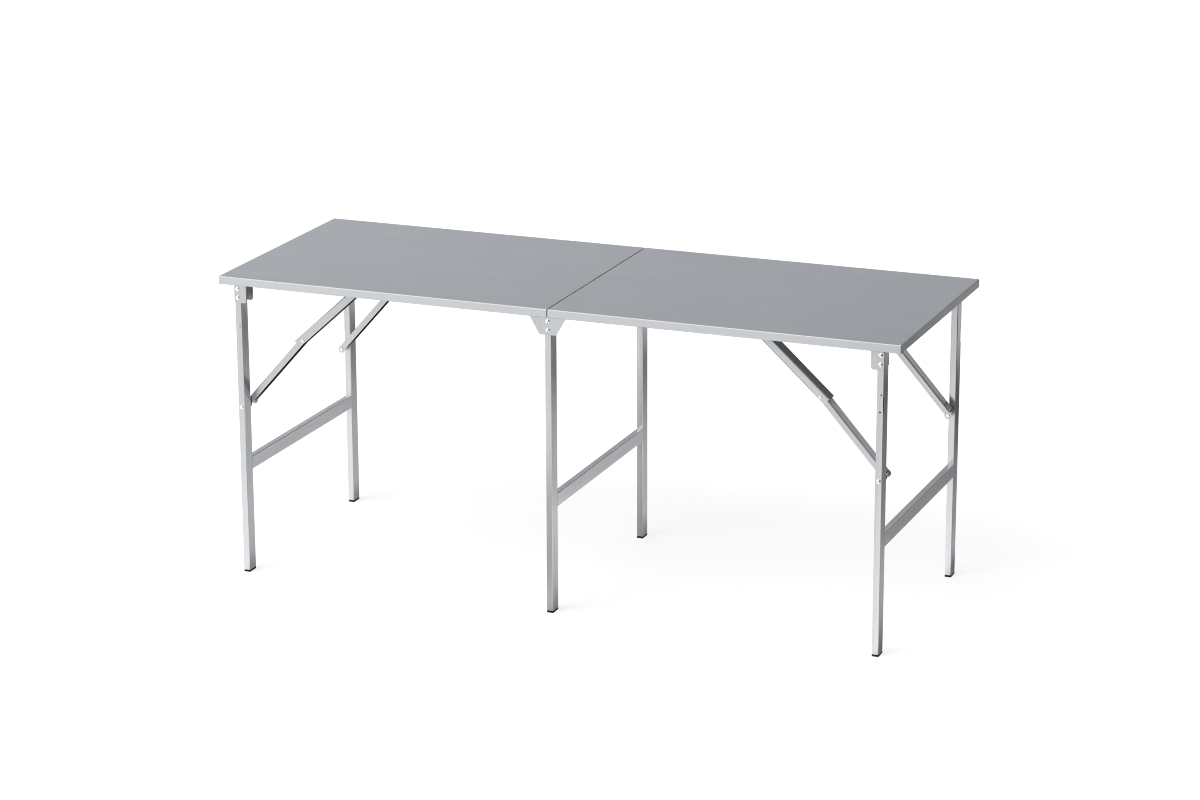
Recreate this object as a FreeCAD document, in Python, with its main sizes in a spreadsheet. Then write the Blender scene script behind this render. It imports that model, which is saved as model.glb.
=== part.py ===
import FreeCAD, Part
import math
import os
import Sketcher

# Folding trestle table: two sheet-metal top halves on three tube trestles.
# Millimetres. Origin on the floor under the middle of the table, +X along the
# length, +Y from front to rear, +Z up. Pieces are drawn for the front right
# quarter and mirrored to the rear and to the left.

V = FreeCAD.Vector
doc = FreeCAD.newDocument("FoldingTrestleTable")
sheet = doc.addObject("Spreadsheet::Sheet", "Dim")
sheet.Label = "Dimensions"

SIZES = [
    # table top
    ("top_length", 2000.0), ("top_width", 738.0), ("top_height", 874.0),
    ("rim_height", 23.0), ("sheet_thick", 1.25), ("seam_gap", 3.0),
    ("top_bend", 3.0), ("corner_round", 2.0), ("seam_bend", 1.2),
    ("hem_thick", 2.5), ("hem_height", 9.0), ("hem_round", 1.1),
    ("seam_flange_half", 360.0),
    # tube trestles
    ("tube_narrow", 19.0), ("tube_wide", 38.0), ("tube_wall", 1.5), ("tube_round", 1.8),
    ("centre_leg_outer", 363.0), ("end_leg_outer", 362.6), ("end_leg_x", 943.5),
    ("leg_top", 848.0), ("foot_height", 6.0), ("foot_insert", 25.0), ("foot_play", 0.1),
    ("bar_low", 300.0),
    ("dent_low", 688.0), ("dent_high", 726.0), ("dent_side", 5.0), ("dent_depth", 1.6),
    ("leg_rivet_z", 731.5), ("leg_rivet_head", 5.2), ("leg_rivet_dome", 2.8), ("leg_rivet_edge", 0.3),
    ("leg_rivet_shank", 2.5), ("leg_rivet_tail", 0.4),
    ("sink_z", 683.8), ("sink_bore", 1.9), ("sink_flare", 1.3),
    # hinge plates and their rivets
    ("plate_thick", 3.0), ("plate_round", 6.5),
    ("end_pivot_x", 925.0), ("end_pivot_z", 860.0), ("lug_round", 8.0),
    ("end_plate_low", 800.5), ("end_plate_shoulder", 848.0),
    ("end_rivet_high", 840.6), ("end_rivet_low", 815.0),
    ("centre_pivot_x", 45.0), ("centre_pivot_z", 858.0),
    ("centre_plate_low", 801.5), ("centre_plate_half", 24.0), ("centre_plate_high", 868.4),
    ("centre_plate_top_half", 63.1), ("centre_plate_round", 10.4),
    ("centre_rivet_high", 839.0), ("centre_rivet_low", 814.5),
    ("rivet_head", 6.5), ("rivet_dome", 2.9), ("rivet_edge", 0.3), ("rivet_shank", 3.0),
    ("rivet_tail", 1.0),
    ("hinge_pin", 4.0), ("pin_play", 0.06), ("pin_proud", 0.3),
    ("end_lug_inner", 325.4), ("lug_outer", 361.8), ("centre_lug_inner", 326.0),
    # folding braces
    ("anchor_x", 584.0), ("anchor_z", 860.0), ("elbow_x", 765.2), ("elbow_z", 695.5),
    ("brace_leg_z", 493.5), ("brace_sheet", 1.5), ("brace_pin", 3.5),
    ("upper_outer", 321.8), ("upper_depth", 40.0), ("upper_rise", 15.3), ("upper_drop", 8.6),
    ("upper_back", 9.0), ("upper_back_rise", 10.0), ("upper_beyond", 22.0), ("upper_bend", 4.5),
    ("web_start", 55.0), ("upper_end_round", 7.0), ("upper_tip_round", 12.0),
    ("lower_outer", 319.8), ("lower_depth", 36.0), ("lower_rise", 10.5), ("lower_drop", 6.5),
    ("lower_back", 8.0), ("lower_back_rise", 4.0), ("lower_web_start", 2.0),
    ("lower_boss", 10.5), ("lower_bend", 3.0), ("lower_end_round", 5.0),
    ("brace_lug_inner", 284.0), ("brace_lug_outer", 319.6),
    ("elbow_head", 5.5), ("elbow_dome", 2.0), ("elbow_edge", 1.7),
    ("collar_round", 7.0), ("collar_face", 324.2),
    ("lower_web_stop", 32.0), ("sleeve_round", 5.6), ("sleeve_play", 0.2),
]


class Q:
    """A size: its number and the sheet expression that drives it."""

    def __init__(self, v, e):
        self.v = float(v)
        self.e = e

    @staticmethod
    def of(o):
        return o if isinstance(o, Q) else Q(o, "%.6g" % o)

    def __add__(self, o):
        o = Q.of(o)
        return Q(self.v + o.v, "(%s + %s)" % (self.e, o.e))

    def __sub__(self, o):
        o = Q.of(o)
        return Q(self.v - o.v, "(%s - %s)" % (self.e, o.e))

    def __mul__(self, o):
        o = Q.of(o)
        return Q(self.v * o.v, "(%s * %s)" % (self.e, o.e))

    def __truediv__(self, o):
        o = Q.of(o)
        return Q(self.v / o.v, "(%s / %s)" % (self.e, o.e))

    def __neg__(self):
        return Q(-self.v, "(0 - %s)" % self.e)


for row, (key, number) in enumerate(SIZES, 1):
    sheet.set("A%d" % row, key)
    sheet.set("B%d" % row, "%g" % number)
    sheet.setAlias("B%d" % row, key)
doc.recompute()
NUM = dict(SIZES)


def D(key):
    return Q(NUM[key], "Dim." + key)


def root(q):
    return Q(math.sqrt(q.v), "sqrt(%s)" % q.e)


ZERO = Q(0, "0")


# ---- drawing helpers -------------------------------------------------------
def new_body(label, x=ZERO, y=ZERO, z=ZERO, slope=None):
    body = doc.addObject("PartDesign::Body", label)
    body.Label = label
    turn = FreeCAD.Rotation()
    if slope is not None:
        rise, run = slope
        turn = FreeCAD.Rotation(V(0, 1, 0), math.degrees(math.atan(rise.v / run.v)))
    body.Placement = FreeCAD.Placement(V(x.v, y.v, z.v), turn)
    for axis, q in (("x", x), ("y", y), ("z", z)):
        body.setExpression("Placement.Base." + axis, q.e)
    if slope is not None:
        body.setExpression("Placement.Rotation.Angle", "atan(%s / %s)" % (rise.e, run.e))
    return body


def plane_of(body, role):
    for f in body.Origin.OriginFeatures:
        if f.Role == role:
            return f


def new_sketch(body, role, offset=None):
    sk = body.newObject("Sketcher::SketchObject", body.Name + "_sketch")
    sk.AttachmentSupport = [(plane_of(body, role), "")]
    sk.MapMode = "FlatFace"
    if offset is not None:
        sk.AttachmentOffset = FreeCAD.Placement(V(0, 0, offset.v), FreeCAD.Rotation())
        sk.setExpression("AttachmentOffset.Base.z", offset.e)
    return sk


def pin_point(sk, geo, pos, x, y):
    for kind, axis, q in (("DistanceX", -2, x), ("DistanceY", -1, y)):
        if abs(q.v) < 1e-9:
            sk.addConstraint(Sketcher.Constraint("PointOnObject", geo, pos, axis))
            continue
        if q.v > 0:
            c = sk.addConstraint(Sketcher.Constraint(kind, -1, 1, geo, pos, q.v))
            sk.setExpression("Constraints[%d]" % c, q.e)
        else:
            c = sk.addConstraint(Sketcher.Constraint(kind, geo, pos, -1, 1, -q.v))
            sk.setExpression("Constraints[%d]" % c, (-q).e)


def add_loop(sk, pts):
    first = sk.GeometryCount
    n = len(pts)
    for i in range(n):
        a, b = pts[i], pts[(i + 1) % n]
        sk.addGeometry(Part.LineSegment(V(a[0].v, a[1].v, 0), V(b[0].v, b[1].v, 0)), False)
    for i in range(n):
        sk.addConstraint(Sketcher.Constraint("Coincident", first + i, 2, first + (i + 1) % n, 1))
    for i in range(n):
        pin_point(sk, first + i, 1, pts[i][0], pts[i][1])


def add_rect(sk, x0, x1, y0, y1):
    add_loop(sk, [(x0, y0), (x1, y0), (x1, y1), (x0, y1)])


def add_circle(sk, x, y, r):
    g = sk.addGeometry(Part.Circle(V(x.v, y.v, 0), V(0, 0, 1), r.v), False)
    pin_point(sk, g, 3, x, y)
    c = sk.addConstraint(Sketcher.Constraint("Radius", g, r.v))
    sk.setExpression("Constraints[%d]" % c, r.e)


def pad(body, sk, length, back=False):
    f = body.newObject("PartDesign::Pad", body.Name + "_pad")
    f.Profile = sk
    f.Length = length.v
    f.setExpression("Length", length.e)
    f.Reversed = back
    doc.recompute()
    return f


def cut(body, sk, length):
    """Pocket that cuts along the sketch's own normal."""
    before = body.Tip.Shape.Volume
    f = body.newObject("PartDesign::Pocket", body.Name + "_cut")
    f.Profile = sk
    f.Length = length.v
    f.setExpression("Length", length.e)
    f.Reversed = True
    doc.recompute()
    if not f.Shape.Volume < before - 1e-3:
        raise RuntimeError("cut removes nothing: " + f.Name)
    return f


def round_edges(body, pick, radius):
    base = body.Tip
    names = ["Edge%d" % (i + 1) for i, e in enumerate(base.Shape.Edges) if pick(e)]
    if not names:
        raise RuntimeError("no edge to round: " + body.Name)
    f = body.newObject("PartDesign::Fillet", body.Name + "_round")
    f.Base = (base, names)
    f.Radius = radius.v
    f.setExpression("Radius", radius.e)
    doc.recompute()
    return f


def flare_edges(body, pick, size):
    base = body.Tip
    names = ["Edge%d" % (i + 1) for i, e in enumerate(base.Shape.Edges) if pick(e)]
    if not names:
        raise RuntimeError("no edge to flare: " + body.Name)
    f = body.newObject("PartDesign::Chamfer", body.Name + "_flare")
    f.Base = (base, names)
    f.Size = size.v
    f.setExpression("Size", size.e)
    doc.recompute()
    return f


def near(a, b, tol=1e-3):
    return abs(a - b) < tol


def along(e, axis):
    b = e.BoundBox
    size = {"x": b.XLength, "y": b.YLength, "z": b.ZLength}
    return size[axis] > 1e-3 and all(v < 1e-3 for k, v in size.items() if k != axis)


def at(e, x=None, y=None, z=None):
    c = e.BoundBox.Center
    return ((x is None or near(c.x, x)) and (y is None or near(c.y, y))
            and (z is None or near(c.z, z)))


def mirrored(src, label, axis):
    m = doc.addObject("Part::Mirroring", label)
    m.Label = label
    m.Source = src
    m.Base = V(0, 0, 0)
    m.Normal = V(1, 0, 0) if axis == "x" else V(0, 1, 0)
    return m


def grouped(items, label):
    c = doc.addObject("Part::Compound", label)
    c.Label = label
    c.Links = items
    return c


# ---- pieces ----------------------------------------------------------------
half_x = D("tube_narrow") / 2
half_y = D("tube_wide") / 2
wall = D("tube_wall")


def tube_rings(sk):
    add_rect(sk, -half_x, half_x, -half_y, half_y)
    add_rect(sk, wall - half_x, half_x - wall, wall - half_y, half_y - wall)


def leg_tube(label, x, outer, rivets):
    """Upright tube with rivet holes through both walls at the given heights."""
    low = D("foot_height")
    body = new_body(label, x, half_y - outer, low)
    sk = new_sketch(body, "XY_Plane")
    tube_rings(sk)
    pad(body, sk, D("leg_top") - low)
    hx, hy = half_x.v, half_y.v
    round_edges(body, lambda e: along(e, "z") and near(abs(e.BoundBox.Center.x), hx)
                and near(abs(e.BoundBox.Center.y), hy), D("tube_round"))
    holes = new_sketch(body, "XZ_Plane", -half_y - 1)
    for height, r in rivets:
        add_circle(holes, ZERO, height - low, r)
    cut(body, holes, D("tube_wide") + 2)
    return body


def one_wall_leg_tube(label, x, outer, rivets):
    """Upright tube with rivet holes through its outer wall only."""
    low = D("foot_height")
    body = new_body(label, x, half_y - outer, low)
    sk = new_sketch(body, "XY_Plane")
    tube_rings(sk)
    pad(body, sk, D("leg_top") - low)
    hx, hy = half_x.v, half_y.v
    round_edges(body, lambda e: along(e, "z") and near(abs(e.BoundBox.Center.x), hx)
                and near(abs(e.BoundBox.Center.y), hy), D("tube_round"))
    holes = new_sketch(body, "XZ_Plane", half_y - wall - 1)
    for height, r in rivets:
        add_circle(holes, ZERO, height - low, r)
    cut(body, holes, wall + 2)
    return body


def crossbar(label, x, leg_outer):
    inner = leg_outer - D("tube_wide")
    body = new_body(label, x, inner, D("bar_low") + half_y)
    sk = new_sketch(body, "XZ_Plane")
    add_rect(sk, -half_x, half_x, -half_y, half_y)
    add_rect(sk, wall - half_x, half_x - wall, wall - half_y, half_y - wall)
    pad(body, sk, inner * 2)
    hx, hy = half_x.v, half_y.v
    round_edges(body, lambda e: along(e, "y") and near(abs(e.BoundBox.Center.x), hx)
                and near(abs(e.BoundBox.Center.z), hy), D("tube_round"))
    return body


def foot_plug(label, x, outer):
    body = new_body(label, x, half_y - outer, ZERO)
    sk = new_sketch(body, "XY_Plane")
    add_rect(sk, -half_x, half_x, -half_y, half_y)
    pad(body, sk, D("foot_height"))
    hx, hy = half_x.v, half_y.v
    round_edges(body, lambda e: along(e, "z") and near(abs(e.BoundBox.Center.x), hx)
                and near(abs(e.BoundBox.Center.y), hy), D("tube_round"))
    inset = wall + D("foot_play")
    up = new_sketch(body, "XY_Plane", D("foot_height"))
    add_rect(up, inset - half_x, half_x - inset, inset - half_y, half_y - inset)
    pad(body, up, D("foot_insert"))
    return body


def domed_head(body, head, dome, edge, way):
    """Round head turned about Y: a spherical cap on a short straight edge. It stands to the
    front of the face for way -1 and to the rear for way 1."""
    sk = new_sketch(body, "XY_Plane")
    rim, tip = edge * way, dome * way
    cap = dome.v - edge.v
    ball = (head.v ** 2 + cap ** 2) / (2 * cap)
    mid = dome.v - ball
    lean = math.atan2(edge.v - mid, head.v)
    turn = (lean, math.pi / 2) if way > 0 else (-math.pi / 2, -lean)
    low, high = (1, 2) if way > 0 else (2, 1)
    sk.addGeometry(Part.LineSegment(V(0, 0, 0), V(head.v, 0, 0)), False)
    sk.addGeometry(Part.LineSegment(V(head.v, 0, 0), V(head.v, rim.v, 0)), False)
    sk.addGeometry(Part.ArcOfCircle(Part.Circle(V(0, way * mid, 0), V(0, 0, 1), ball), *turn), False)
    sk.addGeometry(Part.LineSegment(V(0, tip.v, 0), V(0, 0, 0)), False)
    for ends in ((0, 2, 1, 1), (1, 2, 2, low), (2, high, 3, 1), (3, 2, 0, 1)):
        sk.addConstraint(Sketcher.Constraint("Coincident", *ends))
    for geo, pos, x, y in ((0, 1, ZERO, ZERO), (1, 1, head, ZERO), (1, 2, head, rim), (3, 1, ZERO, tip)):
        pin_point(sk, geo, pos, x, y)
    sk.addConstraint(Sketcher.Constraint("PointOnObject", 2, 3, -2))
    f = body.newObject("PartDesign::Revolution", body.Name + "_turn")
    f.Profile = sk
    f.ReferenceAxis = (sk, ["V_Axis"])
    f.Angle = 360
    doc.recompute()
    want = math.pi * (head.v ** 2 * edge.v + cap * (3 * head.v ** 2 + cap ** 2) / 6)
    if abs(f.Shape.Volume - want) > 1e-3 * want:
        raise RuntimeError("head is not the round cap: " + f.Name)
    return f


def rivet(label, x, face, z, shank, length, head, dome, edge):
    """Domed rivet whose head stands on the face y = -face; the shank goes to the rear."""
    body = new_body(label, x, -face, z)
    domed_head(body, head, dome, edge, -1)
    sk = new_sketch(body, "XZ_Plane")
    add_circle(sk, ZERO, ZERO, shank)
    pad(body, sk, length, back=True)
    return body


def inward_rivet(label, x, face, z, shank, length, head, dome, edge):
    """Domed rivet whose head stands on the face y = -face towards the middle."""
    body = new_body(label, x, -face, z)
    domed_head(body, head, dome, edge, 1)
    sk = new_sketch(body, "XZ_Plane")
    add_circle(sk, ZERO, ZERO, shank)
    pad(body, sk, length)
    return body


def plain_pin(label, x, inner, z, r, length):
    body = new_body(label, x, -inner, z)
    sk = new_sketch(body, "XZ_Plane")
    add_circle(sk, ZERO, ZERO, r)
    pad(body, sk, length)
    return body


def lug(label, x, z, inner, outer, bore):
    """Hinge lug under the sheet: a block with a round nose about the pin."""
    r = D("lug_round")
    body = new_body(label, x, -inner, z)
    sk = new_sketch(body, "XZ_Plane")
    add_rect(sk, -r, r, -r, D("top_height") - D("sheet_thick") - z)
    pad(body, sk, outer - inner)
    rv = r.v
    round_edges(body, lambda e: along(e, "y") and near(e.BoundBox.Center.z, -rv), r - 0.05)
    sk = new_sketch(body, "XZ_Plane", Q(-1, "-1"))
    add_circle(sk, ZERO, ZERO, bore)
    cut(body, sk, outer - inner + 2)
    return body


# table top halves: a folded tray with a hemmed front and rear rim
def top_half(label):
    length = D("top_length") / 2 - D("seam_gap") / 2
    half_w = D("top_width") / 2
    rim = D("rim_height")
    skin = D("sheet_thick")
    body = new_body(label, D("seam_gap") / 2, ZERO, D("top_height") - rim)
    sk = new_sketch(body, "XY_Plane")
    add_rect(sk, ZERO, length, -half_w, half_w)
    pad(body, sk, rim)
    lv, wv, rv = length.v, half_w.v, rim.v
    round_edges(body, lambda e: along(e, "z") and at(e, x=lv), D("corner_round"))
    round_edges(body, lambda e: near(e.BoundBox.ZMin, rv) and near(e.BoundBox.ZMax, rv)
                and not at(e, x=0.0), D("top_bend"))
    round_edges(body, lambda e: along(e, "y") and at(e, x=0.0, z=rv), D("seam_bend"))
    inside = new_sketch(body, "YZ_Plane", skin)
    hem = half_w - D("hem_thick")
    web = half_w - skin
    under = rim - skin
    lift = D("hem_height")
    below = Q(-1, "-1")
    add_loop(inside, [(-hem, below), (hem, below), (hem, lift), (web, lift), (web, under),
                      (-web, under), (-web, lift), (-hem, lift)])
    cut(body, inside, length - skin * 2)
    round_edges(body, lambda e: along(e, "x") and near(abs(e.BoundBox.Center.y), wv)
                and near(e.BoundBox.Center.z, 0.0), D("hem_round"))
    notch = new_sketch(body, "YZ_Plane", Q(-1, "-1"))
    for sign in (1, -1):
        a, b = D("seam_flange_half"), hem
        if sign < 0:
            a, b = -hem, -D("seam_flange_half")
        add_rect(notch, a, b, below, under)
    cut(body, notch, skin + 1)
    return body


# end hinge plate: spans the tube and reaches inboard to the pivot
def end_plate(label, face):
    px, pz = D("end_pivot_x"), D("end_pivot_z")
    r = D("lug_round")
    body = new_body(label, px, -face, pz)
    sk = new_sketch(body, "XZ_Plane")
    right = D("end_leg_x") + half_x - px
    low = D("end_plate_low") - pz
    add_loop(sk, [(-r, low), (right, low), (right, D("end_plate_shoulder") - pz), (r, r), (-r, r)])
    pad(body, sk, D("plate_thick"))
    rv, lowv, rightv = r.v, low.v, right.v
    round_edges(body, lambda e: along(e, "y") and near(e.BoundBox.Center.z, lowv), D("plate_round"))
    round_edges(body, lambda e: along(e, "y") and at(e, x=-rv, z=rv), r - 0.05)
    round_edges(body, lambda e: along(e, "y") and at(e, x=rv, z=rv), r - 2)
    sk = new_sketch(body, "XZ_Plane", Q(-1, "-1"))
    add_circle(sk, ZERO, ZERO, D("hinge_pin") + D("pin_play"))
    for height in ("end_rivet_high", "end_rivet_low"):
        add_circle(sk, D("end_leg_x") - px, D(height) - pz, D("rivet_shank"))
    cut(body, sk, D("plate_thick") + 2)
    return body


# centre plate: trapezoid on the outer face of the centre leg, carries both halves
def centre_plate(label):
    face = D("centre_leg_outer")
    body = new_body(label, ZERO, -face, ZERO)
    sk = new_sketch(body, "XZ_Plane")
    a, b = D("centre_plate_half"), D("centre_plate_top_half")
    low, high = D("centre_plate_low"), D("centre_plate_high")
    add_loop(sk, [(-a, low), (a, low), (b, high), (-b, high)])
    pad(body, sk, D("plate_thick"))
    lowv, highv = low.v, high.v
    round_edges(body, lambda e: along(e, "y") and near(e.BoundBox.Center.z, lowv), D("plate_round"))
    round_edges(body, lambda e: along(e, "y") and near(e.BoundBox.Center.z, highv),
                D("centre_plate_round"))
    sk = new_sketch(body, "XZ_Plane", Q(-1, "-1"))
    for x in (D("centre_pivot_x"), -D("centre_pivot_x")):
        add_circle(sk, x, D("centre_pivot_z"), D("hinge_pin"))
    for height in ("centre_rivet_high", "centre_rivet_low"):
        add_circle(sk, ZERO, D(height), D("rivet_shank"))
    cut(body, sk, D("plate_thick") + 2)
    return body


# brace links: bent channels, the lower one nested in the upper one at the elbow
upper_run = D("elbow_x") - D("anchor_x")
upper_fall = D("anchor_z") - D("elbow_z")
upper_len = root(upper_run * upper_run + upper_fall * upper_fall)
lower_run = D("end_leg_x") - D("elbow_x")
lower_fall = D("elbow_z") - D("brace_leg_z")
lower_len = root(lower_run * lower_run + lower_fall * lower_fall)


def channel(label, x, z, slope, outer, depth, outline, top, web_from, bend, holes, end_rounds, boss=None, web_to=None):
    skin = D("brace_sheet")
    body = new_body(label, x, depth - outer, z, slope)
    sk = new_sketch(body, "XZ_Plane")
    add_loop(sk, outline)
    pad(body, sk, depth)
    for px, pz, r in end_rounds:
        round_edges(body, lambda e: along(e, "y") and at(e, x=px.v, z=pz.v), r)
    topv = top.v
    round_edges(body, lambda e: along(e, "x") and near(e.BoundBox.Center.z, topv), bend)
    if boss is not None:
        sk = new_sketch(body, "XZ_Plane")
        add_circle(sk, boss[0], ZERO, boss[1])
        pad(body, sk, depth)
    inside = new_sketch(body, "YZ_Plane", Q(-60, "-60"))
    add_rect(inside, skin - depth, -skin, Q(-40, "-40"), top - skin)
    cut(body, inside, Q(800, "800"))
    inv = top.v - skin.v
    round_edges(body, lambda e: along(e, "x") and near(e.BoundBox.Center.z, inv), bend - skin)
    back = new_sketch(body, "XY_Plane", Q(-40, "-40"))
    add_rect(back, Q(-60, "-60"), web_from, skin - depth, -skin)
    cut(body, back, Q(100, "100"))
    if web_to is not None:
        ahead = new_sketch(body, "XY_Plane", Q(-40, "-40"))
        add_rect(ahead, web_to, web_to + 100, skin - depth, -skin)
        cut(body, ahead, Q(100, "100"))
    bores = new_sketch(body, "XZ_Plane", Q(-1, "-1"))
    for hx, r in holes:
        add_circle(bores, hx, ZERO, r)
    cut(body, bores, depth + 2)
    return body


def upper_brace(label):
    rise, drop, back = D("upper_rise"), D("upper_drop"), D("upper_back")
    tip = upper_len + D("upper_beyond")
    outline = [(-back, -drop), (tip, -drop), (tip, rise), (D("web_start"), rise),
               (-back, D("upper_back_rise"))]
    rounds = [(-back, -drop, D("upper_end_round")), (-back, D("upper_back_rise"), D("upper_end_round")),
              (tip, -drop, D("upper_tip_round"))]
    holes = [(ZERO, D("hinge_pin") + D("pin_play")), (upper_len, D("brace_pin"))]
    return channel(label, D("anchor_x"), D("anchor_z"), (upper_fall, upper_run), D("upper_outer"),
                   D("upper_depth"), outline, rise, D("web_start"), D("upper_bend"), holes, rounds)


def lower_brace(label):
    rise, drop, back = D("lower_rise"), D("lower_drop"), D("lower_back")
    tip = lower_len
    outline = [(-back, -drop), (tip, -drop), (tip, rise), (D("lower_web_start"), rise),
               (-back, D("lower_back_rise"))]
    rounds = [(-back, -drop, D("lower_end_round"))]
    holes = [(ZERO, D("brace_pin") + D("pin_play")), (lower_len, D("brace_pin"))]
    return channel(label, D("elbow_x"), D("elbow_z"), (lower_fall, lower_run), D("lower_outer"),
                   D("lower_depth"), outline, rise, D("lower_web_start"), D("lower_bend"), holes, rounds,
                   (lower_len, D("lower_boss")), lower_len - D("lower_web_stop"))


def elbow_rivet(label):
    inner = D("upper_outer") - D("upper_depth")
    body = new_body(label, D("elbow_x"), -inner, D("elbow_z"))
    sk = new_sketch(body, "XZ_Plane")
    add_circle(sk, ZERO, ZERO, D("brace_pin"))
    pad(body, sk, D("upper_depth"))
    depth, dome = D("upper_depth").v, D("elbow_dome").v
    sk = new_sketch(body, "XZ_Plane", D("upper_depth"))
    add_circle(sk, ZERO, ZERO, D("elbow_head"))
    pad(body, sk, D("elbow_dome"))
    sk = new_sketch(body, "XZ_Plane")
    add_circle(sk, ZERO, ZERO, D("elbow_head"))
    pad(body, sk, D("elbow_dome"), back=True)
    round_edges(body, lambda e: e.BoundBox.YLength < 1e-3 and e.BoundBox.XLength > 1
                and (at(e, y=-depth - dome) or at(e, y=dome)), D("elbow_edge"))
    return body


def brace_leg_pin(label):
    inner = D("lower_outer") - D("lower_depth")
    body = new_body(label, D("end_leg_x"), -inner, D("brace_leg_z"))
    sk = new_sketch(body, "XZ_Plane")
    add_circle(sk, ZERO, ZERO, D("brace_pin"))
    pad(body, sk, D("collar_face") - inner)
    sk = new_sketch(body, "XZ_Plane", D("lower_depth"))
    add_circle(sk, ZERO, ZERO, D("collar_round"))
    pad(body, sk, D("collar_face") - D("lower_outer"))
    inset = D("brace_sheet") + D("sleeve_play")
    sk = new_sketch(body, "XZ_Plane", inset)
    add_circle(sk, ZERO, ZERO, D("sleeve_round"))
    pad(body, sk, D("lower_depth") - inset * 2)
    sk = new_sketch(body, "XZ_Plane")
    add_circle(sk, ZERO, ZERO, D("elbow_head"))
    pad(body, sk, D("elbow_dome"), back=True)
    dome = D("elbow_dome").v
    round_edges(body, lambda e: e.BoundBox.YLength < 1e-3 and e.BoundBox.XLength > 1
                and at(e, y=dome), D("elbow_edge"))
    return body


# ---- assembly --------------------------------------------------------------
nodes = []


def keep(*objs):
    nodes.extend(objs)


# centre trestle
rv = D("rivet_shank")
leg = one_wall_leg_tube("centre_leg_front", ZERO, D("centre_leg_outer"),
                        [(D("centre_rivet_high"), rv), (D("centre_rivet_low"), rv)])
keep(leg, mirrored(leg, "centre_leg_rear", "y"))
keep(crossbar("centre_crossbar", ZERO, D("centre_leg_outer")))
plate = centre_plate("centre_plate_front")
keep(plate, mirrored(plate, "centre_plate_rear", "y"))
foot = foot_plug("centre_foot", ZERO, D("centre_leg_outer"))
keep(grouped([foot, mirrored(foot, "centre_foot_rear", "y")], "centre_feet"))
face = D("centre_leg_outer") + D("plate_thick")
shank = D("plate_thick") + wall + D("rivet_tail")
items = []
for n, height in enumerate(("centre_rivet_high", "centre_rivet_low"), 1):
    r = rivet("centre_rivet_%d" % n, ZERO, face, D(height), rv, shank, D("rivet_head"),
              D("rivet_dome"), D("rivet_edge"))
    items += [r, mirrored(r, "centre_rivet_rear_%d" % n, "y")]
keep(grouped(items, "centre_plate_rivets"))
items = []
pin = plain_pin("centre_pin", D("centre_pivot_x"), D("centre_lug_inner"), D("centre_pivot_z"),
                D("hinge_pin"), face - D("centre_lug_inner"))
items = [pin, mirrored(pin, "centre_pin_left", "x")]
items += [mirrored(items[0], "centre_pin_rear", "y"), mirrored(items[1], "centre_pin_rear_left", "y")]
keep(grouped(items, "centre_hinge_pins"))


def pair(front, label):
    """Front piece and its rear mirror image, as one group of the right side."""
    return grouped([front, mirrored(front, front.Name + "_rear", "y")], label)


right = {}
right["top"] = top_half("right_top")
right["end_hinge_lugs"] = pair(
    lug("end_lug", D("end_pivot_x"), D("end_pivot_z"), D("end_lug_inner"), D("lug_outer"),
        D("hinge_pin")), "right_end_hinge_lugs")
right["centre_hinge_lugs"] = pair(
    lug("centre_lug", D("centre_pivot_x"), D("centre_pivot_z"), D("centre_lug_inner"), D("lug_outer"),
        D("hinge_pin") + D("pin_play")), "right_centre_hinge_lugs")
right["brace_lugs"] = pair(
    lug("brace_lug", D("anchor_x"), D("anchor_z"), D("brace_lug_inner"), D("brace_lug_outer"),
        D("hinge_pin")), "right_brace_lugs")
end_in = D("end_leg_outer") - D("tube_wide") - D("plate_thick") - D("pin_proud")
end_out = D("end_leg_outer") + D("plate_thick") + D("pin_proud")
right["end_hinge_pins"] = pair(
    plain_pin("end_pin", D("end_pivot_x"), end_in, D("end_pivot_z"), D("hinge_pin"), end_out - end_in),
    "right_end_hinge_pins")
anchor_in = D("upper_outer") - D("upper_depth") - D("pin_proud") * 2
right["brace_anchor_pins"] = pair(
    plain_pin("anchor_pin", D("anchor_x"), anchor_in, D("anchor_z"), D("hinge_pin"),
              D("upper_depth") + D("pin_proud") * 4), "right_brace_anchor_pins")

leg_holes = [(D("end_rivet_high"), rv), (D("end_rivet_low"), rv),
             (D("brace_leg_z"), D("brace_pin")), (D("leg_rivet_z"), D("leg_rivet_shank"))]
leg = leg_tube("right_leg_front", D("end_leg_x"), D("end_leg_outer"), leg_holes)
# pressed flat on the outboard front corner of the right tubes
dent = new_sketch(leg, "XY_Plane", D("dent_low") - D("foot_height"))
add_loop(dent, [(half_x - D("dent_depth"), -half_y - 1), (half_x + 1, -half_y - 1),
                (half_x + 1, D("dent_side") - half_y), (half_x - D("dent_depth"), D("dent_side") - half_y)])
cut(leg, dent, D("dent_high") - D("dent_low"))
# flared hole below the flat, through the outer wall only
sink = new_sketch(leg, "XZ_Plane", half_y - wall - 1)
add_circle(sink, ZERO, D("sink_z") - D("foot_height"), D("sink_bore"))
cut(leg, sink, wall + 2)
sink_at, sink_face = (D("sink_z") - D("foot_height")).v, half_y.v
flare_edges(leg, lambda e: at(e, y=-sink_face, z=sink_at), D("sink_flare"))
keep(leg, mirrored(leg, "right_leg_rear", "y"))
leg = leg_tube("left_leg_front", -D("end_leg_x"), D("end_leg_outer"), leg_holes)
keep(leg, mirrored(leg, "left_leg_rear", "y"))
right["crossbar"] = crossbar("right_crossbar", D("end_leg_x"), D("end_leg_outer"))
right["outer_hinge_plates"] = pair(end_plate("end_plate_outer", D("end_leg_outer")),
                                   "right_outer_hinge_plates")
inner_face = D("end_leg_outer") - D("tube_wide") - D("plate_thick")
right["inner_hinge_plates"] = pair(end_plate("end_plate_inner", inner_face), "right_inner_hinge_plates")
right["feet"] = pair(foot_plug("end_foot", D("end_leg_x"), D("end_leg_outer")), "right_feet")
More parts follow.
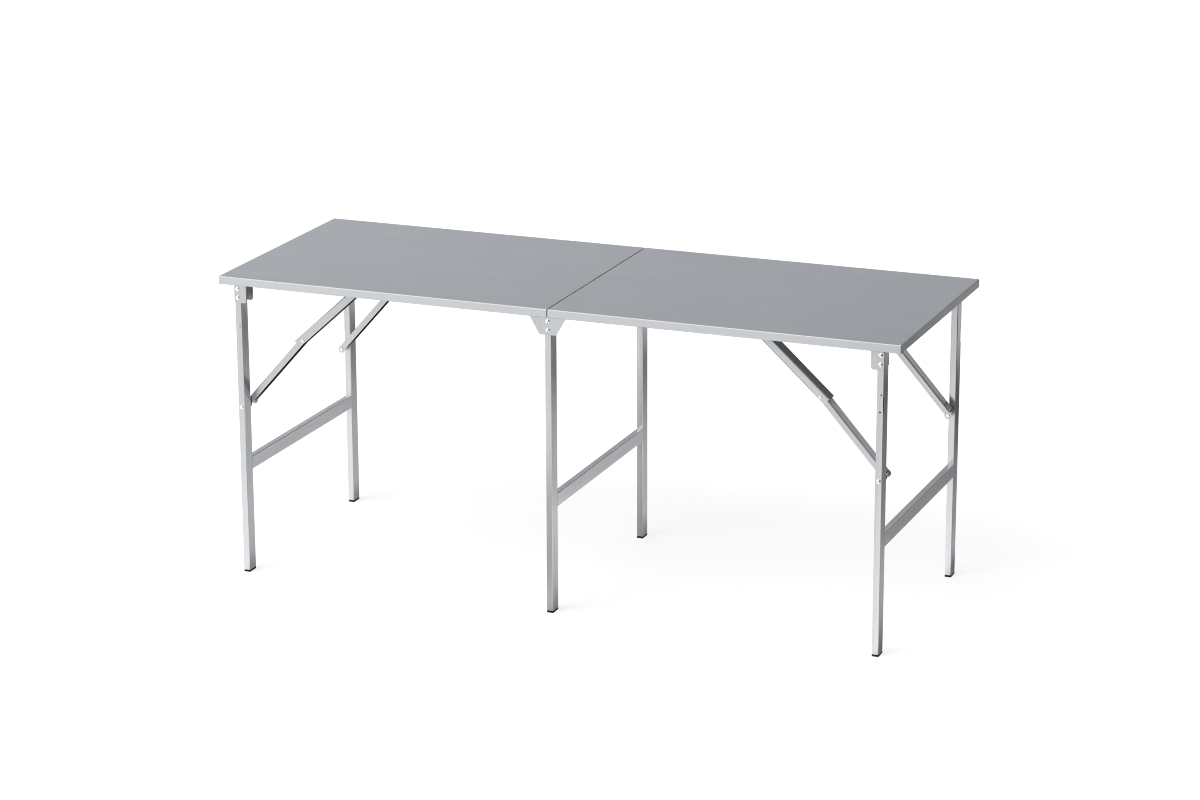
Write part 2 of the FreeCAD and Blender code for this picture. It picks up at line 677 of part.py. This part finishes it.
items = []
for n, height in enumerate(("end_rivet_high", "end_rivet_low"), 1):
    r = rivet("end_rivet_%d" % n, D("end_leg_x"), D("end_leg_outer") + D("plate_thick"), D(height), rv,
              shank, D("rivet_head"), D("rivet_dome"), D("rivet_edge"))
    s = inward_rivet("end_rivet_inner_%d" % n, D("end_leg_x"), inner_face, D(height), rv,
                     shank, D("rivet_head"), D("rivet_dome"), D("rivet_edge"))
    items += [r, mirrored(r, "end_rivet_rear_%d" % n, "y"),
              s, mirrored(s, "end_rivet_inner_rear_%d" % n, "y")]
right["plate_rivets"] = grouped(items, "right_plate_rivets")
r = rivet("leg_rivet", D("end_leg_x"), D("end_leg_outer"), D("leg_rivet_z"), D("leg_rivet_shank"),
          D("tube_wide") + D("leg_rivet_tail"), D("leg_rivet_head"), D("leg_rivet_dome"), D("leg_rivet_edge"))
right["leg_rivets"] = pair(r, "right_leg_rivets")
right["brace_pivot_rivets"] = pair(
    rivet("pivot_rivet", D("end_leg_x"), D("end_leg_outer"), D("brace_leg_z"), D("brace_pin"),
          D("tube_wide"), D("rivet_head"), D("rivet_dome"), D("rivet_edge")),
    "right_brace_pivot_rivets")

for name, maker in (("upper_brace", upper_brace), ("elbow_rivet", elbow_rivet),
                    ("lower_brace", lower_brace), ("brace_leg_pin", brace_leg_pin)):
    front = maker("right_front_" + name)
    right["front_" + name] = front
    right["rear_" + name] = mirrored(front, "right_rear_" + name, "y")

for name, obj in right.items():
    keep(obj, mirrored(obj, "left_" + name, "x"))

doc.recompute()

# ---- checks and export -----------------------------------------------------
for obj in doc.Objects:
    if "Invalid" in obj.State or "Error" in obj.State:
        raise RuntimeError("object not valid: " + obj.Name)
os.makedirs("parts", exist_ok=True)
for old in os.listdir("parts"):
    if old.endswith(".step"):
        os.remove(os.path.join("parts", old))
for obj in nodes:
    shape = obj.Shape
    if shape.isNull() or not shape.isValid():
        raise RuntimeError("shape not valid: " + obj.Label)
    shape.exportStep("parts/" + obj.Label + ".step")
    b = shape.BoundBox
    print("%-28s solids %d vol %.1f  x %.2f..%.2f y %.2f..%.2f z %.2f..%.2f" % (
        obj.Label, len(shape.Solids), shape.Volume, b.XMin, b.XMax, b.YMin, b.YMax, b.ZMin, b.ZMax))
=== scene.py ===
import math
import bpy
from mathutils import Matrix, Vector


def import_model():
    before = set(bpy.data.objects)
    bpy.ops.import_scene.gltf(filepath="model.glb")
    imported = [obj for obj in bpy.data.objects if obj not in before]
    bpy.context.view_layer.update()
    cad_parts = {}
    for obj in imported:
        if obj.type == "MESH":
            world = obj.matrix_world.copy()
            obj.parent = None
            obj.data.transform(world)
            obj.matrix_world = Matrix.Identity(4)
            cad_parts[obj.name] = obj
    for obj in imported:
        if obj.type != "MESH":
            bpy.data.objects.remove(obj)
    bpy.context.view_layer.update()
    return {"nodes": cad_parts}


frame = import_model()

NODES = frame["nodes"]


# ---------------------------------------------------------------- node helpers
class Graph:
    def __init__(self, mat):
        mat.use_nodes = True
        self.t = mat.node_tree
        self.t.nodes.clear()

    def new(self, kind, **props):
        n = self.t.nodes.new(kind)
        for k, v in props.items():
            setattr(n, k, v)
        return n

    def link(self, a, b):
        self.t.links.new(a, b)

    def put(self, socket, value):
        if isinstance(value, bpy.types.NodeSocket):
            self.link(value, socket)
        else:
            socket.default_value = value

    def math(self, op, a, b=None, clamp=False):
        n = self.new("ShaderNodeMath", operation=op, use_clamp=clamp)
        self.put(n.inputs[0], a)
        if b is not None:
            self.put(n.inputs[1], b)
        return n.outputs[0]

    def span(self, value, lo, hi, to_lo, to_hi, smooth=False):
        n = self.new("ShaderNodeMapRange")
        n.clamp = True
        if smooth:
            n.interpolation_type = "SMOOTHSTEP"
        self.put(n.inputs[0], value)
        for i, v in zip((1, 2, 3, 4), (lo, hi, to_lo, to_hi)):
            n.inputs[i].default_value = v
        return n.outputs[0]

    def mix(self, fac, a, b, blend="MIX"):
        n = self.new("ShaderNodeMix", data_type="RGBA", blend_type=blend)
        self.put(n.inputs[0], fac)
        for s, v in ((n.inputs[6], a), (n.inputs[7], b)):
            if isinstance(v, bpy.types.NodeSocket):
                self.link(v, s)
            else:
                s.default_value = tuple(v) + ((1.0,) if len(v) == 3 else ())
        return n.outputs[2]

    def coords(self, rotation=(0, 0, 0), scale=(1, 1, 1), location=(0, 0, 0)):
        tc = self.new("ShaderNodeTexCoord")
        turn = self.new("ShaderNodeMapping")
        turn.inputs["Rotation"].default_value = rotation
        turn.inputs["Location"].default_value = location
        self.link(tc.outputs["Object"], turn.inputs[0])
        size = self.new("ShaderNodeMapping")
        size.inputs["Scale"].default_value = scale
        self.link(turn.outputs[0], size.inputs[0])
        return size.outputs[0]

    def noise(self, vec, scale=1.0, detail=3.0, rough=0.55, distortion=0.0):
        n = self.new("ShaderNodeTexNoise")
        self.link(vec, n.inputs["Vector"])
        n.inputs["Scale"].default_value = scale
        n.inputs["Detail"].default_value = detail
        n.inputs["Roughness"].default_value = rough
        n.inputs["Distortion"].default_value = distortion
        return n.outputs[0]

    def edges(self, radius):
        """1 along outer edges and in tight corners, 0 on the flats."""
        bev = self.new("ShaderNodeBevel")
        bev.samples = 4
        bev.inputs["Radius"].default_value = radius
        geo = self.new("ShaderNodeNewGeometry")
        dot = self.new("ShaderNodeVectorMath", operation="DOT_PRODUCT")
        self.link(bev.outputs[0], dot.inputs[0])
        self.link(geo.outputs["Normal"], dot.inputs[1])
        return self.span(dot.outputs["Value"], 0.995, 0.80, 0.0, 1.0, smooth=True)


def shade(c, k):
    return tuple(min(1.0, v * k) for v in c)


def metal(name, base, metallic, rough, turn=(0, 0, 0), wear=1.0, hair=True, grain=1.0, blotch=1.0, painted_recess_shade=0.0, ripple=1.0, brush=1.0, under=None, sides_tint_and_painted_light=None):
    """Drawn or rolled bright metal, with painted shade in hollows, along the top's bend and on its underside, and
    painted light on its side faces when those arguments are given. The grain runs along the local X axis after the
    turn.
    """
    mat = bpy.data.materials.new(name)
    g = Graph(mat)
    out = g.new("ShaderNodeOutputMaterial")
    bsdf = g.new("ShaderNodeBsdfPrincipled")
    g.link(bsdf.outputs[0], out.inputs[0])
    fine = g.noise(g.coords(turn, (5.0, 900.0, 900.0)), detail=5.0, rough=0.62)
    draw = g.noise(g.coords(turn, (0.9, 150.0, 150.0), (3.1, 7.7, 1.3)), detail=4.0, rough=0.6)
    cloud = g.noise(g.coords(scale=(1, 1, 1), location=(5.0, 2.0, 9.0)), scale=6.0, detail=4.0, rough=0.6)
    smear = g.noise(g.coords(turn, (6.0, 22.0, 22.0), (1.7, 4.1, 8.8)), detail=3.0, rough=0.5, distortion=0.8)
    light, dark = shade(base, 1.0 + 0.07 * grain), shade(base, 1.0 - 0.08 * grain)
    c = g.mix(g.span(draw, 0.30, 0.70, 0.0, 1.0), dark, light)
    c = g.mix(g.span(cloud, 0.35, 0.75, 0.0, 0.30 * blotch), c, shade(base, 0.86))
    c = g.mix(g.span(fine, 0.35, 0.70, 0.0, 0.35 * grain), c, shade(base, 0.90))
    r = g.math("ADD", g.span(fine, 0.25, 0.75, rough - 0.05 * brush, rough + 0.05 * brush),
               g.span(smear, 0.35, 0.70, -0.05 * blotch, 0.06 * blotch))
    if hair:
        lines = None
        for k, (angle, off) in enumerate(((0.35, 2.0), (-0.9, 5.5), (1.3, 9.1))):
            t = Vector(turn) + Vector((0, 0, angle)) if name.startswith("top") else Vector(turn) + Vector((angle * 0.25, 0, angle * 0.12))
            s = g.noise(g.coords(tuple(t), (2.2, 260.0, 260.0), (off, off * 0.7, off * 1.9)), detail=2.0, rough=0.5)
            s = g.span(s, 0.735, 0.775, 0.0, 1.0)
            lines = s if lines is None else g.math("MAXIMUM", lines, s)
        gate = g.span(g.noise(g.coords(location=(2.0, 8.0, 3.0)), scale=4.0, detail=2.0), 0.45, 0.62, 0.0, 1.0)
        lines = g.math("MULTIPLY", lines, gate)
        c = g.mix(g.math("MULTIPLY", lines, 0.22 * min(1.0, 0.35 + brush)), c, shade(base, 1.25))
        r = g.math("SUBTRACT", r, g.math("MULTIPLY", lines, 0.06 * min(1.0, 0.35 + brush)))
    # Painted shade: an ambient occlusion mask darkens the base colour almost to black inside channels and other
    # hollows, standing in for the shade there.
    if painted_recess_shade:
        ao = g.new("ShaderNodeAmbientOcclusion")
        ao.samples = 8
        ao.only_local = True
        ao.inputs["Distance"].default_value = 0.045
        painted_hollow_shade = g.span(ao.outputs["AO"], 0.74, 0.97, painted_recess_shade, 0.0, smooth=True)
        c = g.mix(painted_hollow_shade, c, shade(base, 0.035))
        r = g.math("ADD", r, g.math("MULTIPLY", painted_hollow_shade, 0.35))
    if under:
        way = g.new("ShaderNodeTexCoord")
        axes = g.new("ShaderNodeSeparateXYZ")
        g.link(way.outputs["Normal"], axes.inputs[0])
        # Painted light: the top's side faces (its rim) are multiplied by the sides tint, which makes them less blue
        # and lifts them brighter, standing in for the light the rim catches.
        c = g.mix(g.span(axes.outputs[2], 0.75, 0.97, 1.0, 0.0), c, sides_tint_and_painted_light, "MULTIPLY")
        # Painted shade: a thin band along the bend between the top and its rim is darkened a little, standing in for a
        # dark line along the fold.
        painted_bend_shade = g.math("MULTIPLY", g.span(axes.outputs[2], 0.08, 0.30, 0.0, 1.0), g.span(axes.outputs[2], 0.80, 0.97, 1.0, 0.0))
        c = g.mix(g.math("MULTIPLY", painted_bend_shade, 0.10), c, shade(base, 0.30))
        r = g.math("ADD", r, g.math("MULTIPLY", painted_bend_shade, 0.10))
        # Painted shade: faces pointing down take the dark under colour, with random lighter clouds, standing in for
        # the shade beneath the top.
        below = g.span(axes.outputs[2], -0.30, -0.80, 0.0, 1.0)
        underside_shade_tone = g.mix(g.span(cloud, 0.35, 0.70, 0.0, 1.0), under, shade(under, 1.35))
        c = g.mix(below, c, underside_shade_tone)
        r = g.math("ADD", r, g.math("MULTIPLY", below, 0.06))
    if wear:
        e = g.edges(0.0016)
        chip = g.span(g.noise(g.coords(location=(4.0, 1.0, 6.0)), scale=90.0, detail=3.0), 0.30, 0.62, 0.25, 1.0)
        e = g.math("MULTIPLY", e, chip)
        c = g.mix(g.math("MULTIPLY", e, 0.45 * wear), c, shade(base, 1.30))
        r = g.math("SUBTRACT", r, g.math("MULTIPLY", e, 0.10 * wear))
    g.link(c, bsdf.inputs["Base Color"])
    g.link(r, bsdf.inputs["Roughness"])
    bsdf.inputs["Metallic"].default_value = metallic
    b1 = g.new("ShaderNodeBump")
    b1.inputs["Strength"].default_value = 0.10 * grain * brush
    b1.inputs["Distance"].default_value = 0.0002
    g.link(fine, b1.inputs["Height"])
    b2 = g.new("ShaderNodeBump")
    b2.inputs["Strength"].default_value = 0.10 * ripple
    b2.inputs["Distance"].default_value = 0.0004
    g.link(smear, b2.inputs["Height"])
    g.link(b1.outputs[0], b2.inputs["Normal"])
    g.link(b2.outputs[0], bsdf.inputs["Normal"])
    return mat


def rubber(name):
    """Moulded black plastic with a fine eroded grain and scuffed, greyed wear near the floor."""
    mat = bpy.data.materials.new(name)
    g = Graph(mat)
    out = g.new("ShaderNodeOutputMaterial")
    bsdf = g.new("ShaderNodeBsdfPrincipled")
    g.link(bsdf.outputs[0], out.inputs[0])
    pores = g.noise(g.coords(scale=(1, 1, 1)), scale=1400.0, detail=2.0, rough=0.5)
    scuff = g.noise(g.coords(scale=(60.0, 60.0, 240.0)), detail=4.0, rough=0.65)
    tc = g.new("ShaderNodeTexCoord")
    sep = g.new("ShaderNodeSeparateXYZ")
    g.link(tc.outputs["Object"], sep.inputs[0])
    low = g.span(sep.outputs[2], 0.0, 0.004, 1.0, 0.0)
    c = g.mix(g.span(pores, 0.3, 0.7, 0.0, 1.0), (0.004, 0.004, 0.0045), (0.009, 0.009, 0.0095))
    c = g.mix(g.math("MULTIPLY", g.span(scuff, 0.5, 0.75, 0.0, 0.5), low), c, (0.045, 0.045, 0.045))
    bsdf.inputs["Specular IOR Level"].default_value = 0.18
    g.link(c, bsdf.inputs["Base Color"])
    g.link(g.span(pores, 0.3, 0.7, 0.48, 0.66), bsdf.inputs["Roughness"])
    b = g.new("ShaderNodeBump")
    b.inputs["Strength"].default_value = 0.25
    b.inputs["Distance"].default_value = 0.0002
    g.link(pores, b.inputs["Height"])
    g.link(b.outputs[0], bsdf.inputs["Normal"])
    return mat


# ---------------------------------------------------------------- finishes
ALONG_X = (0.0, 0.0, 0.0)
ALONG_Y = (0.0, 0.0, math.radians(90))
ALONG_Z = (0.0, math.radians(90), 0.0)

# Painted shade: under is the dark colour painted on the underside of the top sheet.
TOP = metal("top_sheet_satin", (0.462, 0.486, 0.518), 0.80, 0.30, ALONG_X, wear=0.2, grain=0.26, blotch=0.40,
            ripple=0.05, brush=0.15, under=(0.150, 0.153, 0.160), sides_tint_and_painted_light=(1.13, 1.10, 1.06))
LEG = metal("leg_tube_drawn", (0.530, 0.54, 0.552), 0.82, 0.19, ALONG_Z, wear=0.8, ripple=0.5)
BAR = metal("crossbar_drawn", (0.595, 0.608, 0.628), 0.82, 0.24, ALONG_Y, wear=0.8, ripple=0.5)
PLATE = metal("hinge_plate_zinc", (0.515, 0.525, 0.537), 0.82, 0.26, ALONG_Z, wear=1.0, blotch=1.4)
RIVET = metal("rivet_plated", (0.82, 0.825, 0.835), 0.97, 0.12, ALONG_Z, wear=0.4, hair=False, grain=0.5, ripple=0.4)
FOOT = rubber("foot_plug_black")


def brace(name, run, drop):
    """Channel metal whose grain follows the slope of that brace, with painted shade darkening the inside of the
    channel.
    """
    # painted_recess_shade paints the inside of the channel near-black as shade.
    return metal(name, (0.53, 0.535, 0.545), 0.84, 0.20, (0.0, math.atan2(drop, run), 0.0), wear=0.9, painted_recess_shade=0.95)


BRACES = {}
for side, sg in (("left", -1), ("right", 1)):
    BRACES[side, "upper"] = brace(side + "_upper_brace_channel", sg * 0.1812, -0.1645)
    BRACES[side, "lower"] = brace(side + "_lower_brace_channel", sg * 0.1783, -0.2020)

for name, obj in NODES.items():
    side = name.split("_")[0]
    if name.endswith("_top"):
        m = TOP
    elif "_leg_" in name and "pin" not in name:
        m = LEG
    elif name.endswith("crossbar"):
        m = BAR
    elif name.endswith("feet"):
        m = FOOT
    elif name.endswith("upper_brace"):
        m = BRACES[side, "upper"]
    elif name.endswith("lower_brace"):
        m = BRACES[side, "lower"]
    elif "rivet" in name or "pin" in name:
        m = RIVET
    else:
        m = PLATE
    obj.data.materials.clear()
    obj.data.materials.append(m)


# ---------------------------------------------------------------- floor
SPAN = 60.0


def plane(name, z, mat):
    me = bpy.data.meshes.new(name)
    me.from_pydata([(-SPAN, -SPAN, z), (SPAN, -SPAN, z), (SPAN, SPAN, z), (-SPAN, SPAN, z)], [], [(0, 1, 2, 3)])
    me.materials.append(mat)
    ob = bpy.data.objects.new(name, me)
    bpy.context.scene.collection.objects.link(ob)
    return ob


def floor():
    """The pale floor, solid from above and clear from below."""
    mat = bpy.data.materials.new("floor_pale")
    mat.use_nodes = True
    b = mat.node_tree.nodes["Principled BSDF"]
    b.inputs["Base Color"].default_value = (0.26, 0.26, 0.26, 1)
    b.inputs["Roughness"].default_value = 0.9
    b.inputs["Specular IOR Level"].default_value = 0.1
    b.inputs["Emission Color"].default_value = (1.0, 1.0, 1.0, 1)
    b.inputs["Emission Strength"].default_value = 0.74
    mat.cycles.emission_sampling = "NONE"
    t = mat.node_tree
    clear = t.nodes.new("ShaderNodeBsdfTransparent")
    side = t.nodes.new("ShaderNodeNewGeometry")
    pick = t.nodes.new("ShaderNodeMixShader")
    t.links.new(side.outputs["Backfacing"], pick.inputs[0])
    t.links.new(b.outputs[0], pick.inputs[1])
    t.links.new(clear.outputs[0], pick.inputs[2])
    t.links.new(pick.outputs[0], t.nodes["Material Output"].inputs[0])
    ob = plane("floor", 0.0, mat)
    ob.visible_glossy = False
    ob.visible_diffuse = False


def ramp(g, value, lo, hi, stops):
    """Values along an axis from lo to hi."""
    n = g.new("ShaderNodeValToRGB")
    g.link(g.span(value, lo, hi, 0.0, 1.0), n.inputs[0])
    el = n.color_ramp.elements
    at = [((p - lo) / (hi - lo), v) for p, v in stops]
    for e, (p, v) in ((el[0], at[0]), (el[1], at[-1])):
        e.position, e.color = p, (v, v, v, 1)
    for p, v in at[1:-1]:
        el.new(p).color = (v, v, v, 1)
    return n.outputs[0]


ROW = ((-4.0, 0.225), (-2.85, 0.215), (-2.2, 0.210), (-1.5, 0.240), (-0.8, 0.270), (-0.4, 0.285), (-0.1, 0.250),
       (0.15, 0.170), (0.4, 0.156), (0.8, 0.140), (1.1, 0.140), (1.5, 0.106), (1.9, 0.053), (2.15, 0.036),
       (2.7, 0.18), (4.0, 0.20))
# across, measured from a line that slants in towards the front
COLUMN = ((-5.0, 1.0), (0.0, 1.0), (0.14, 0.58), (0.36, 0.50), (0.50, 0.27), (0.72, 0.84), (0.92, 0.72), (1.25, 0.20), (1.4, 0.20), (1.65, 0.16), (3.0, 0.12))
PATCH = (-0.26, -0.95, 0.50, 1.20, 0.36)
NEAR = ((-3.0, 0.28), (-0.955, 0.295), (-0.935, 0.070), (-0.905, 0.075), (-0.84, 0.150), (-0.60, 0.165), (-0.30, 0.13),
        (-0.015, 0.075), (0.010, 0.065), (0.040, 0.075), (0.10, 0.150), (0.20, 0.165), (0.40, 0.20), (0.60, 0.28), (0.930, 0.31),
        (0.955, 0.040), (0.985, 0.045), (1.05, 0.11), (1.12, 0.125), (1.30, 0.090), (2.0, 0.05), (3.0, 0.03))
POOL = 5.0


def reflector():
    """A soft lit card under the floor, seen in the metal only: bright in front, grey behind, dark at the right."""
    mat = bpy.data.materials.new("reflector_soft")
    g = Graph(mat)
    out = g.new("ShaderNodeOutputMaterial")
    glow = g.new("ShaderNodeEmission")
    g.link(glow.outputs[0], out.inputs[0])
    tc = g.new("ShaderNodeTexCoord")
    sep = g.new("ShaderNodeSeparateXYZ")
    g.link(tc.outputs["Object"], sep.inputs[0])
    line = g.math("MINIMUM", g.math("ADD", g.math("MULTIPLY", sep.outputs[1], 0.33), 1.47), 0.97)
    across = g.math("SUBTRACT", sep.outputs[0], line)
    v = g.math("MULTIPLY", ramp(g, sep.outputs[1], -4.0, 4.0, ROW), ramp(g, across, -5.0, 3.0, COLUMN))
    corner = g.math("MULTIPLY", g.span(across, 0.05, 0.40, 0.0, 1.0), g.span(sep.outputs[1], -0.9, -1.7, 0.0, 0.65))
    v = g.math("MULTIPLY", v, g.math("SUBTRACT", 1.0, corner))
    near = g.math("MULTIPLY", g.span(sep.outputs[1], -0.50, -0.36, 0.0, 1.0, smooth=True),
                  g.span(sep.outputs[1], 0.46, 0.66, 1.0, 0.0, smooth=True))
    px, py, rx, ry, low = PATCH
    dx = g.math("DIVIDE", g.math("SUBTRACT", sep.outputs[0], px), rx)
    dy = g.math("DIVIDE", g.math("SUBTRACT", sep.outputs[1], py), ry)
    far = g.math("ADD", g.math("MULTIPLY", dx, dx), g.math("MULTIPLY", dy, dy))
    v = g.math("MULTIPLY", v, g.span(far, 0.05, 1.0, low, 1.0, smooth=True))
    v = g.math("ADD", g.math("MULTIPLY", v, g.math("SUBTRACT", 1.0, near)),
               g.math("MULTIPLY", ramp(g, sep.outputs[0], -3.0, 3.0, NEAR), near))
    g.link(g.math("MULTIPLY", v, POOL), glow.inputs["Strength"])
    glow.inputs["Color"].default_value = (0.99, 0.995, 1.0, 1)
    mat.cycles.emission_sampling = "NONE"
    ob = plane("floor_reflector", -0.002, mat)
    ob.visible_camera = False
    ob.visible_shadow = False


floor()
reflector()


# ---------------------------------------------------------------- light
def sun(name, towards, strength, angle, glints=True):
    data = bpy.data.lights.new(name, "SUN")
    data.energy = strength
    data.angle = math.radians(angle)
    ob = bpy.data.objects.new(name, data)
    ob.rotation_euler = Vector(towards).to_track_quat("Z", "Y").to_euler()
    ob.visible_glossy = glints
    bpy.context.scene.collection.objects.link(ob)


sun("key_soft", (-0.55, -1.00, 0.80), 3.05, 60, glints=False)
sun("glint_soft", (-0.55, -1.00, 0.80), 1.05, 60)
sun("overhead_soft", (-0.15, 0.05, 1.0), 0.5, 80)


def world():
    w = bpy.data.worlds.new("studio")
    bpy.context.scene.world = w
    w.use_nodes = True
    t = w.node_tree
    t.nodes.clear()
    out = t.nodes.new("ShaderNodeOutputWorld")
    bg = t.nodes.new("ShaderNodeBackground")
    t.links.new(bg.outputs[0], out.inputs[0])
    tc = t.nodes.new("ShaderNodeTexCoord")
    sep = t.nodes.new("ShaderNodeSeparateXYZ")
    t.links.new(tc.outputs["Generated"], sep.inputs[0])
    ramp = t.nodes.new("ShaderNodeValToRGB")
    lift = t.nodes.new("ShaderNodeMapRange")
    lift.inputs[1].default_value = -1.0
    lift.inputs[2].default_value = 1.0
    t.links.new(sep.outputs[2], lift.inputs[0])
    t.links.new(lift.outputs[0], ramp.inputs[0])
    el = ramp.color_ramp.elements
    stops = ((0.0, 0.40), (0.50, 0.78), (0.64, 0.72), (0.70, 0.12), (0.80, 0.14), (0.90, 0.85), (1.0, 0.95))
    el[0].position, el[0].color = stops[0][0], (stops[0][1],) * 3 + (1,)
    el[1].position, el[1].color = stops[-1][0], (stops[-1][1],) * 3 + (1,)
    for p, v in stops[1:-1]:
        e = el.new(p)
        e.color = (v, v, v * 1.02, 1)
    front = t.nodes.new("ShaderNodeMapRange")
    front.inputs[1].default_value = 0.3
    front.inputs[2].default_value = -0.9
    front.inputs[3].default_value = 1.0
    front.inputs[4].default_value = 1.3
    t.links.new(sep.outputs[1], front.inputs[0])
    right = t.nodes.new("ShaderNodeMapRange")
    right.inputs[1].default_value = -0.55
    right.inputs[2].default_value = -0.15
    right.inputs[3].default_value = 1.20
    right.inputs[4].default_value = 0.72
    t.links.new(sep.outputs[0], right.inputs[0])
    side = t.nodes.new("ShaderNodeMapRange")
    side.inputs[1].default_value = 0.42
    side.inputs[2].default_value = 0.80
    side.inputs[3].default_value = 1.0
    side.inputs[4].default_value = 0.25
    t.links.new(sep.outputs[0], side.inputs[0])
    j = t.nodes.new("ShaderNodeMath")
    j.operation = "MULTIPLY"
    t.links.new(right.outputs[0], j.inputs[0])
    t.links.new(side.outputs[0], j.inputs[1])
    k = t.nodes.new("ShaderNodeMath")
    k.operation = "MULTIPLY"
    t.links.new(front.outputs[0], k.inputs[0])
    t.links.new(j.outputs[0], k.inputs[1])
    t.links.new(ramp.outputs[0], bg.inputs[0])
    t.links.new(k.outputs[0], bg.inputs[1])


world()
scene = bpy.context.scene
scene.view_settings.view_transform = "Standard"
scene.view_settings.look = "None"
scene.cycles.filter_width = 1.0

# ---------------------------------------------------------------- camera
cam = bpy.data.cameras.new("camera")
cam.sensor_fit = "HORIZONTAL"
cam.sensor_width = 36.0
cam.lens = 104.805
cam.clip_end = 200.0
eye = bpy.data.objects.new("camera", cam)
right = Vector((0.9280766924, 0.3723767331, -0.0030367291))
down = Vector((0.1035133043, -0.2658029917, -0.9584538410))
ahead = Vector((-0.3577130818, 0.8892043287, -0.2852315075))
eye.matrix_world = Matrix.Translation((3.539533, -8.785081, 3.334452)) @ Matrix(
    (right, -down, -ahead)).transposed().to_4x4()
scene.collection.objects.link(eye)
scene.camera = eye
